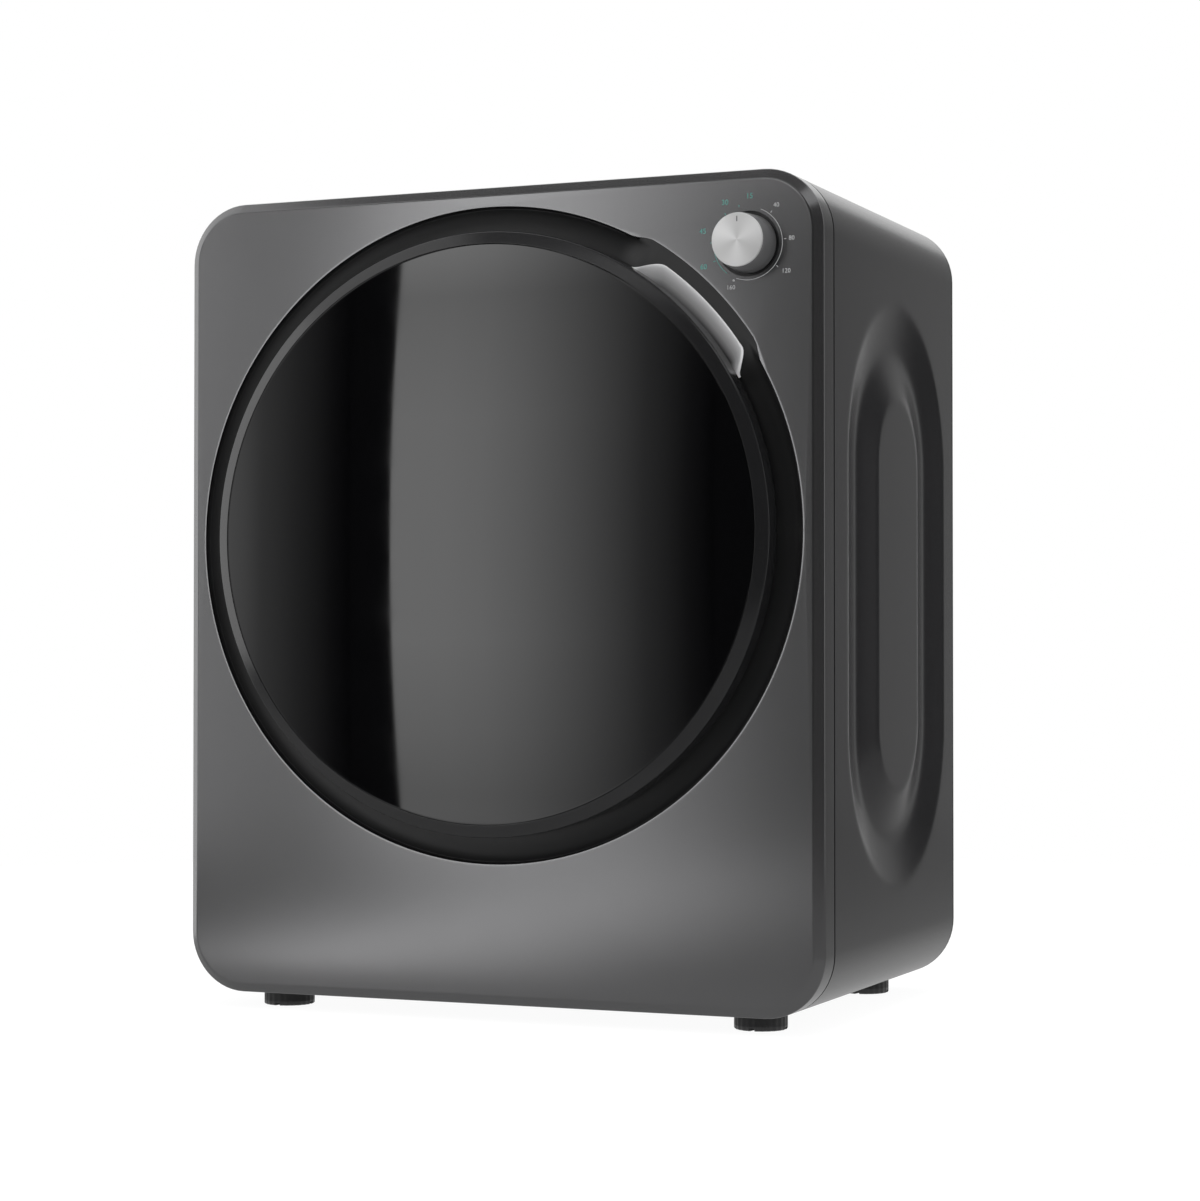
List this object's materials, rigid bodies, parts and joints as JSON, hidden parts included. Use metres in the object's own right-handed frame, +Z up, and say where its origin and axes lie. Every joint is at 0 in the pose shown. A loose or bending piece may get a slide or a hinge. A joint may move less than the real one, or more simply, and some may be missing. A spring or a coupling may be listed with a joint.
{
  "type": "clothes dryer",
  "caption": "Compact free-standing vented clothes dryer with a round smoked-glass door, a mechanical timer knob, a belt-driven drum and fan, and a rear exhaust collar.",
  "frame": {"origin": "on the floor, under the middle of the machine's overall box", "axes": "+Z up, the front with the door faces -Y, +X is to the right as seen from the front"},
  "size_m": [0.5, 0.4, 0.6],
  "materials": {
    "metallic_panel": "dark metallic lacquer, satin",
    "cabinet_paint": "dark grey powder coat, fine satin",
    "black_moulding": "black satin-gloss ABS moulding",
    "grey_moulding": "grey polypropylene moulding",
    "scoop_moulding": "light grey satin-gloss moulding",
    "smoked_glass": "smoked black toughened glass, polished",
    "rubber": "black rubber",
    "stainless": "stainless steel, fine brushed",
    "zinc_steel": "zinc plated steel sheet",
    "spun_aluminium": "spun and clear anodised aluminium",
    "felt": "pressed wool felt",
    "white_moulding": "off-white heat resistant moulding",
    "motor_paint": "painted motor frame with windings"
  },
  "bodies": {
    "cabinet": {"front_panel": "metallic_panel", "cabinet_wrap": "cabinet_paint", "rear_panel": "cabinet_paint", "base_plate": "zinc_steel", "front_bulkhead": "zinc_steel", "rear_bulkhead": "zinc_steel", "door_surround": "black_moulding", "finger_scoop": "scoop_moulding", "drum_slide_ring": "felt", "latch_catch": "grey_moulding", "hinge_bracket": "zinc_steel", "hinge_pin": "zinc_steel", "door_switch": "white_moulding", "drum_bearing": "zinc_steel", "bearing_housing": "zinc_steel", "fan_shaft": "zinc_steel", "fan_housing": "grey_moulding", "fan_belt": "rubber", "rear_cover": "black_moulding", "exhaust_collar": "black_moulding", "heater_housing": "zinc_steel", "heater_element": "white_moulding", "thermal_cutout": "black_moulding", "intake_grille": "black_moulding", "drive_motor": "motor_paint", "drum_belt": "rubber", "motor_bracket": "zinc_steel", "run_capacitor": "grey_moulding", "capacitor_clip": "zinc_steel", "timer_unit": "black_moulding", "cord_inlet": "black_moulding", "terminal_block": "white_moulding"},
    "door": {"door_ring": "black_moulding", "door_glass": "smoked_glass", "door_liner": "grey_moulding", "door_inner_window": "smoked_glass", "door_seal": "rubber", "latch_hook": "grey_moulding", "hinge_leaf": "zinc_steel"},
    "drum": {"drum_shell": "stainless", "drum_back": "stainless", "drum_lifter_1": "grey_moulding", "drum_lifter_2": "grey_moulding", "drum_lifter_3": "grey_moulding", "lint_filter_cover": "grey_moulding", "lint_filter_screen": "felt", "drum_shaft": "zinc_steel"},
    "motor_rotor": {"motor_shaft": "zinc_steel", "drum_drive_pulley": "zinc_steel", "fan_drive_pulley": "zinc_steel"},
    "fan": {"fan_wheel": "grey_moulding"},
    "timer_knob": {"timer_shaft": "zinc_steel", "timer_knob": "black_moulding", "knob_face": "spun_aluminium"},
    "door_switch_plunger": {"switch_plunger": "grey_moulding"},
    "front_left_foot": {"foot_front_left": "rubber"},
    "front_right_foot": {"foot_front_right": "rubber"},
    "rear_left_foot": {"foot_rear_left": "rubber"},
    "rear_right_foot": {"foot_rear_right": "rubber"}
  },
  "joints": [
    {"name": "door_hinge", "type": "hinge", "parent": "cabinet", "child": "door", "pos_m": [-0.21, -0.1815, 0.349], "axis": [0, 0, -1], "range_deg": [0, 120]},
    {"name": "drum_spin", "type": "hinge", "parent": "cabinet", "child": "drum", "pos_m": [0, 0, 0.349], "axis": [0, 1, 0], "continuous": true},
    {"name": "motor_spin", "type": "hinge", "parent": "cabinet", "child": "motor_rotor", "pos_m": [-0.12, 0, 0.0688], "axis": [0, 1, 0], "continuous": true},
    {"name": "fan_spin", "type": "hinge", "parent": "cabinet", "child": "fan", "pos_m": [0, 0.1285, 0.349], "axis": [0, 1, 0], "continuous": true},
    {"name": "timer_turn", "type": "hinge", "parent": "cabinet", "child": "timer_knob", "pos_m": [0.1962, -0.1775, 0.5478], "axis": [0, 1, 0], "range_deg": [0, 345]},
    {"name": "switch_press", "type": "slide", "parent": "cabinet", "child": "door_switch_plunger", "axis": [0, 1, 0], "range_m": [0, 0.003], "stiffness_N_per_m": 300},
    {"name": "front_left_foot_height", "type": "slide", "parent": "cabinet", "child": "front_left_foot", "axis": [0, 0, -1], "range_m": [0, 0.006]},
    {"name": "front_right_foot_height", "type": "slide", "parent": "cabinet", "child": "front_right_foot", "axis": [0, 0, -1], "range_m": [0, 0.006]},
    {"name": "rear_left_foot_height", "type": "slide", "parent": "cabinet", "child": "rear_left_foot", "axis": [0, 0, -1], "range_m": [0, 0.006]},
    {"name": "rear_right_foot_height", "type": "slide", "parent": "cabinet", "child": "rear_right_foot", "axis": [0, 0, -1], "range_m": [0, 0.006]}
  ],
  "couplings": [
    {"joint": "motor_spin", "follows": "drum_spin", "ratio": 17.107},
    {"joint": "fan_spin", "follows": "drum_spin", "ratio": 4.5827}
  ]
}
